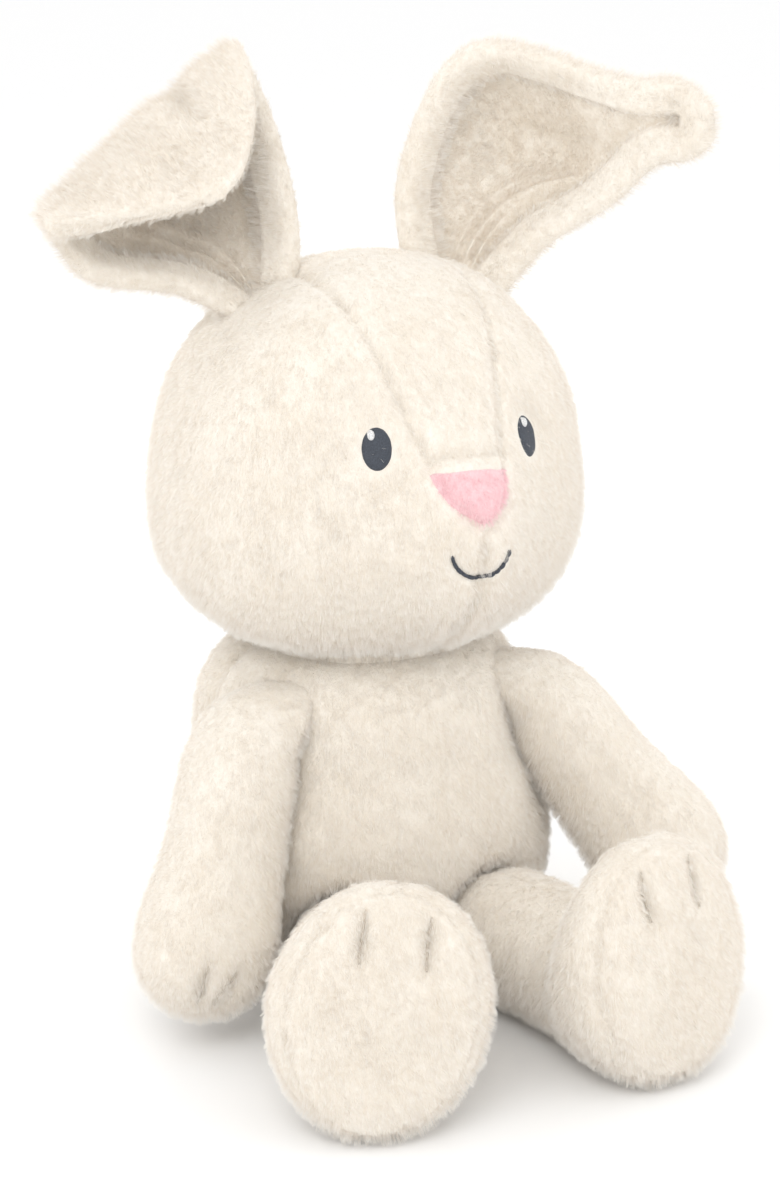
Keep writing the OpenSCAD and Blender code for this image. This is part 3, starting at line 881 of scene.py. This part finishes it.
def ear_pieces(side):
    """The outer sleeve of an ear, rolled over its edge, and the lining set inside the roll."""
    points, out = ear_grid(EAR_ROWS[side])
    out = out * OUTER_FACE[side]
    gap = edge_gap(points)
    flat = points.reshape(-1, 3) * MM
    wrinkle = lumps(flat * (1, 1, 0.5), 10 * MM, 31).reshape(gap.shape) * rise(gap, 3, 12)
    fine = lumps(flat, 4 * MM, 33).reshape(gap.shape)
    edge = round_edge(gap, SLEEVE_EDGE)
    roll = 1 - 0.75 * rise(gap, EAR_ROLL - 3, EAR_ROLL + 1)
    u, v = np.meshgrid(np.linspace(0, 1, EAR_U), np.linspace(0, 1, EAR_V), indexing="ij")
    crease = sum(depth * bump(v - place - lean * (u - 0.6), 0.055) * rise(u, low, low + 0.12)
                 * (1 - rise(u, high - 0.12, high)) for place, lean, low, high, depth in EAR_CREASES[side])
    front = edge * (SLEEVE_FRONT + 0.25 * fine) + 0.8 * wrinkle - crease
    back = edge * (SLEEVE_BACK * roll + 0.25 * fine) - 0.8 * wrinkle
    sleeve = closed_sheet(f"{side}_ear_sleeve", points + out * front[..., None],
                          points - out * back[..., None])
    inner, inner_out = inset(points, out, EAR_ROLL - 3.5)
    gap = edge_gap(inner)
    flat = inner.reshape(-1, 3) * MM
    folds = lumps(flat * (1, 1, 0.35), 12 * MM, 35).reshape(gap.shape) * rise(gap, 1, 9)
    for place, lean, width, height in LINING_FOLDS[side]:
        line = v - place - lean * u
        folds += height * bump(line, width) * rise(u, 0.05, 0.15) * (1 - rise(u, 0.42, 0.6))
    wrinkle = lumps(flat * (1, 1, 0.5), 10 * MM, 31).reshape(gap.shape)
    cap = round_edge(gap, LINING_EDGE) * np.maximum(LINING_LEAST,
                                                    LINING_THICK + 1.2 * folds - 0.6 * wrinkle)
    lining = closed_sheet(f"{side}_ear_inner", inner - inner_out * LINING_START,
                          inner - inner_out * (LINING_START + cap)[..., None])
    for made in (sleeve, lining):
        subdivided(made, 1)
    return (sleeve, points), (lining, inner)


def cut_size(points):
    """Greatest width, length and area of a grid laid out flat, in metres."""
    across = np.linalg.norm(np.diff(points, axis=1), axis=2)
    along = np.linalg.norm(np.diff(points, axis=0), axis=2)
    cells = across[:-1] * (along[:, :-1] + along[:, 1:]) / 2
    wide, long = across.sum(axis=1).max(), along.sum(axis=0).max()
    return wide * MM, long * MM, cells.sum() * MM * MM


for side in SIDES:
    # The lining gets the darker copy of the cream, painted shade for the inside of the ear.
    for (made, points), material, slot, nodes in zip(
            ear_pieces(side), (CREAM, SHADED_LINING), ("plush", "ear_lining"),
            (("ear_outer", "ear_tip_outer"), ("ear_lining", "ear_tip_lining"))):
        made.data.materials.append(material)
        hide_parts(*[f"{side}_{n}" for n in nodes])
        start, end = EAR_FOLD[side]
        Vector(start) * MM
        Vector(end) * MM
        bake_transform(made)
        wide, long, area = cut_size(points)

for (side, kind), made in limbs.items():
    if kind == "arm":
        first, turn, way = f"{side}_shoulder", f"{side}_arm_raise", Vector((0, 0, -1))
    else:
        first, turn, way = f"{side}_hip", f"{side}_leg_swing", Vector((0, -1, 0))
    pivot = joint(turn)
    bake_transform(made)


# ---- pile ----
def clear_of(made, patches, near=0.8, far=2.2):
    """Weight for each point of a cover: 0 under these patches, 1 well away from them."""
    points = coords(made.data)
    gap = np.min([distances(tree_of(p.data), points) for p in patches], axis=0) / MM
    return rise(gap, near, far)


face = [bpy.data.objects[n] for n in ("right_eye_patch", "left_eye_patch", "nose_cover", "mouth_thread")]
fur(head_cover, CREAM_PILE, COMB_DOWN, 1, keep_out=clear_of(head_cover, face))
fur(torso_cover, CREAM_PILE, COMB_DOWN, 2)
fur(neck_cover, CREAM_PILE, COMB_DOWN, 3)
fur(tail_cover, CREAM_PILE, (0, 0.5, -0.2), 4, length=5)
fur(nose, PINK_PILE, COMB_DOWN, 5, length=1.6, density=6)
for count, ((side, kind), made) in enumerate(limbs.items()):
    comb = COMB_DOWN if kind == "arm" else (0, -0.3, -0.5)
    fur(made, CREAM_PILE, comb, 10 + count)
for count, side in enumerate(SIDES):
    outward = SIDES[side] * 0.5
    fur(bpy.data.objects[f"{side}_ear_sleeve"], CREAM_PILE, (outward, 0, 0.1), 20 + count, length=2.8)
    # the lining's pile is the darker painted-shade copy of the cream pile
    fur(bpy.data.objects[f"{side}_ear_inner"], SHADED_LINING_PILE, (outward, 0, 0.1), 30 + count, length=2.0)


# ---- camera, floor and light ----
CAMERA_TARGET = Vector((-2, -25, 127)) * MM
CAMERA_AZIMUTH = math.radians(-24)
CAMERA_ELEVATION = math.radians(17)
CAMERA_DISTANCE = 0.85

camera_data = bpy.data.cameras.new("camera")
camera_data.lens = 82.8
camera_data.sensor_width = 36
camera = bpy.data.objects.new("camera", camera_data)
bpy.context.scene.collection.objects.link(camera)
toward = Vector((math.sin(CAMERA_AZIMUTH) * math.cos(CAMERA_ELEVATION),
                 -math.cos(CAMERA_AZIMUTH) * math.cos(CAMERA_ELEVATION),
                 math.sin(CAMERA_ELEVATION)))
camera.location = CAMERA_TARGET + toward * CAMERA_DISTANCE
camera.rotation_euler = toward.to_track_quat("Z", "Y").to_euler()
camera_data.clip_start = 0.01
bpy.context.scene.camera = camera

floor_mesh = bpy.data.meshes.new("floor")
half = 30
floor_mesh.from_pydata([(-half, -half, 0), (half, -half, 0), (half, half, 0), (-half, half, 0)], [],
                       [(0, 1, 2, 3)])
floor = new_object("floor", floor_mesh)
floor_material, _, floor_shader = node_material("floor_white")
floor_shader.inputs["Base Color"].default_value = (0.99, 0.99, 0.99, 1)
floor_shader.inputs["Roughness"].default_value = 0.9
floor_mesh.materials.append(floor_material)


def soft_light(name, place, size, power):
    data = bpy.data.lights.new(name, "AREA")
    data.shape = "DISK"
    data.size = size
    data.energy = power
    made = bpy.data.objects.new(name, data)
    made.location = place
    aim = Vector((0, 0, 0.12)) - made.location
    made.rotation_euler = aim.to_track_quat("-Z", "Y").to_euler()
    bpy.context.scene.collection.objects.link(made)


soft_light("key", Vector((-0.7, -0.8, 1.1)), 0.9, 5)
soft_light("fill", Vector((1.1, -0.7, 0.7)), 1.0, 1.5)
soft_light("back", Vector((0.3, 1.0, 0.9)), 0.9, 2)

world = bpy.data.worlds.new("studio")
bpy.context.scene.world = world
world.use_nodes = True
world.node_tree.nodes["Background"].inputs["Color"].default_value = (1, 1, 1, 1)
world.node_tree.nodes["Background"].inputs["Strength"].default_value = 1.0
bpy.context.scene.view_settings.view_transform = "Standard"
